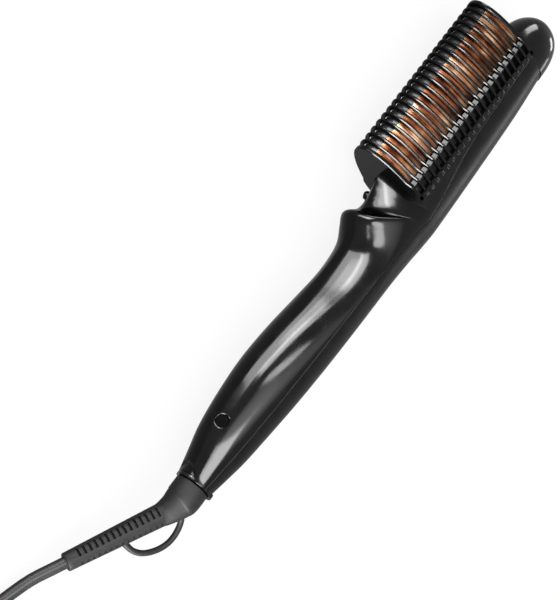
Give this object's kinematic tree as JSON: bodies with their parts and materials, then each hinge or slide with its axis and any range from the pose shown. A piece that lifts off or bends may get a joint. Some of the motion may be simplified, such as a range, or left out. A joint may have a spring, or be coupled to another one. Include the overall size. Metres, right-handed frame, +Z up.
{
  "type": "hair straightening brush",
  "caption": "Corded hot-comb straightening brush: round-backed grip, finned bullet-shaped comb over two copper heating plates, push button and swivel cord.",
  "frame": {"origin": "on the surface that the brush lies on, under the middle of the body's box without the cord", "axes": "+Y from the cord to the tip, -X the side that the comb's teeth point to, +Z up with the brush on its side"},
  "size_m": [0.0676, 0.5383, 0.034],
  "materials": {
    "housing": "glossy black, smooth",
    "guard": "glossy black comb fins with bright rims",
    "copper_plate": "smooth copper-coloured heating plate",
    "ridge": "glossy dark strip at the top of the comb",
    "carrier": "heat-resistant white carrier",
    "ptc": "grey heater ceramic",
    "insulation": "amber insulating sheet",
    "sensor": "glass bead sensor",
    "fuse": "beige thermal fuse",
    "button": "black push button",
    "board": "green circuit board",
    "component": "black electronic component",
    "capacitor": "blue sleeved capacitor",
    "screw": "plated steel",
    "ring": "thin bright ring",
    "contact": "brass contact",
    "wire": "insulated wire",
    "socket": "black bearing plastic",
    "boot": "matte dark grey flexible boot",
    "cord": "matte grey cord sheath",
    "tie": "dark band",
    "plug": "moulded dark plug",
    "blade": "plated brass blade"
  },
  "bodies": {
    "handle": {"front_shell": "housing", "back_shell": "housing", "tip_cap": "housing", "comb_guard_upper": "guard", "comb_guard_lower": "guard", "heating_plate_upper": "copper_plate", "heating_plate_lower": "copper_plate", "ridge_strip": "ridge", "comb_base": "socket", "heater_carrier": "carrier", "ptc_heaters": "ptc", "insulation_sheets": "insulation", "thermistor": "sensor", "thermal_fuse": "fuse", "button_bezel": "housing", "control_board": "board", "tact_switch": "component", "control_chip": "component", "triac": "component", "capacitor": "capacitor", "shell_screws": "screw", "comb_screws": "screw", "swivel_socket": "socket", "collar_ring": "ring", "contact_holder": "carrier", "contact_brushes": "contact", "internal_wires": "wire"},
    "button": {"power_button": "button"},
    "swivel_cord": {"swivel_stem": "socket", "contact_rings": "contact", "cord_boot": "boot", "strain_relief": "boot", "hang_loop": "boot", "cord_run": "cord", "cord_hank": "cord", "cord_tie": "tie", "cord_tail": "cord", "plug_body": "plug", "plug_blades": "blade"}
  },
  "joints": [
    {"name": "power_button_press", "type": "slide", "parent": "handle", "child": "button", "axis": [0.766, 0, -0.6428], "range_m": [0, 0.0008], "stiffness_N_per_m": 300, "springref_m": -0.001},
    {"name": "cord_swivel", "type": "hinge", "parent": "handle", "child": "swivel_cord", "pos_m": [0.01025, -0.14203, 0.017], "axis": [0, 1, 0], "continuous": true}
  ]
}
